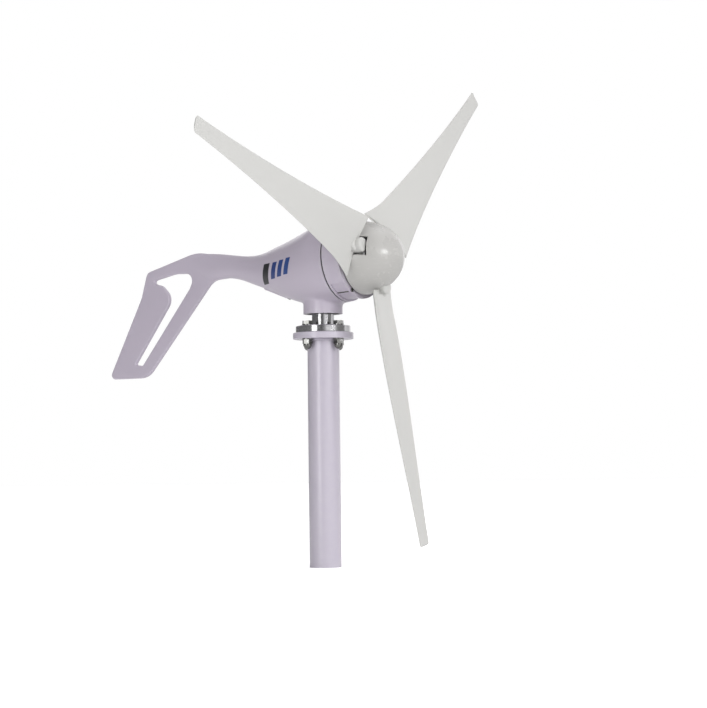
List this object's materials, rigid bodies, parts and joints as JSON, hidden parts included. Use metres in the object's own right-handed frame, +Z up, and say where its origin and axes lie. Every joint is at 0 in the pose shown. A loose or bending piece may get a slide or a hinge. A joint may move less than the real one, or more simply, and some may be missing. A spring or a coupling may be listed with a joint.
{
  "type": "horizontal axis wind turbine",
  "caption": "Small upwind horizontal-axis wind turbine: bladed rotor with spinner on a nacelle with a one-piece tail fin, turning on a flanged pole stub.",
  "frame": {"origin": "centre of the pole's foot, on the yaw axis", "axes": "+Z up the pole along the yaw axis, +X towards the nose, +Y to the left of the nacelle seen from behind"},
  "size_m": [0.6925, 0.9524, 0.9458],
  "materials": {
    "bearing_steel": "ground",
    "black_plastic": "moulded",
    "black_rubber": "matt",
    "blade_plastic": "moulded glass-filled nylon, off-white",
    "carbon": "graphite",
    "cast_aluminium": "as cast",
    "copper": "copper",
    "enamelled_copper": "enamelled wire, varnished",
    "laminations": "laminated electrical steel",
    "magnet": "nickel plated",
    "painted_shell": "satin lavender-grey paint",
    "pole_paint": "gloss lavender-grey paint",
    "shaft_steel": "ground",
    "spinner_plastic": "polished off-white plastic",
    "spring_steel": "bright",
    "turned_aluminium": "turned and polished",
    "zinc_steel": "zinc plated"
  },
  "bodies": {
    "mast": {"pole": "pole_paint", "pole_flange": "pole_paint", "flange_bolts": "zinc_steel", "flange_nuts": "zinc_steel", "flange_washers": "zinc_steel", "yaw_shaft": "turned_aluminium", "yaw_bearing_inner_rings": "bearing_steel", "yaw_spacer": "shaft_steel", "yaw_lock_nut": "shaft_steel", "slip_ring_drum": "black_plastic", "slip_rings": "copper"},
    "nacelle": {"nacelle_housing": "painted_shell", "service_cover": "painted_shell", "service_screws": "zinc_steel", "dust_seal": "black_rubber", "yaw_circlip": "spring_steel", "yaw_bearing_outer_rings": "bearing_steel", "front_cover": "painted_shell", "front_cover_screws": "zinc_steel", "seam_gasket": "black_rubber", "shaft_seal": "black_rubber", "rear_end_bell": "cast_aluminium", "stator_core": "laminations", "stator_windings": "enamelled_copper", "main_bearing_outer_rings": "bearing_steel", "brush_holder": "black_plastic", "brushes": "carbon", "brush_springs": "spring_steel"},
    "rotor": {"rotor_shaft": "shaft_steel", "hub_key": "shaft_steel", "rotor_core": "laminations", "magnets": "magnet", "main_bearing_inner_rings": "bearing_steel", "hub": "cast_aluminium", "blade_clamp_plate": "cast_aluminium", "blade_1": "blade_plastic", "blade_2": "blade_plastic", "blade_3": "blade_plastic", "blade_bolts": "zinc_steel", "blade_nuts": "zinc_steel", "hub_washer": "zinc_steel", "hub_nut": "zinc_steel", "spinner": "spinner_plastic", "spinner_screws": "zinc_steel"},
    "yaw_ball_set": {"yaw_bearing_balls": "bearing_steel", "yaw_bearing_cages": "shaft_steel"},
    "main_ball_set": {"main_bearing_balls": "bearing_steel", "main_bearing_cages": "shaft_steel"}
  },
  "joints": [
    {"name": "yaw", "type": "hinge", "parent": "mast", "child": "nacelle", "pos_m": [0, 0, 0.4755], "axis": [0, 0, 1], "continuous": true},
    {"name": "rotor_spin", "type": "hinge", "parent": "nacelle", "child": "rotor", "pos_m": [0, 0, 0.569], "axis": [0.9976, 0, 0.0698], "continuous": true},
    {"name": "yaw_balls_orbit", "type": "hinge", "parent": "mast", "child": "yaw_ball_set", "pos_m": [0, 0, 0.4755], "axis": [0, 0, 1], "continuous": true},
    {"name": "main_balls_orbit", "type": "hinge", "parent": "nacelle", "child": "main_ball_set", "pos_m": [0, 0, 0.569], "axis": [0.9976, 0, 0.0698], "continuous": true}
  ],
  "couplings": [
    {"joint": "yaw_balls_orbit", "follows": "yaw", "ratio": 0.574},
    {"joint": "main_balls_orbit", "follows": "rotor_spin", "ratio": 0.392}
  ]
}
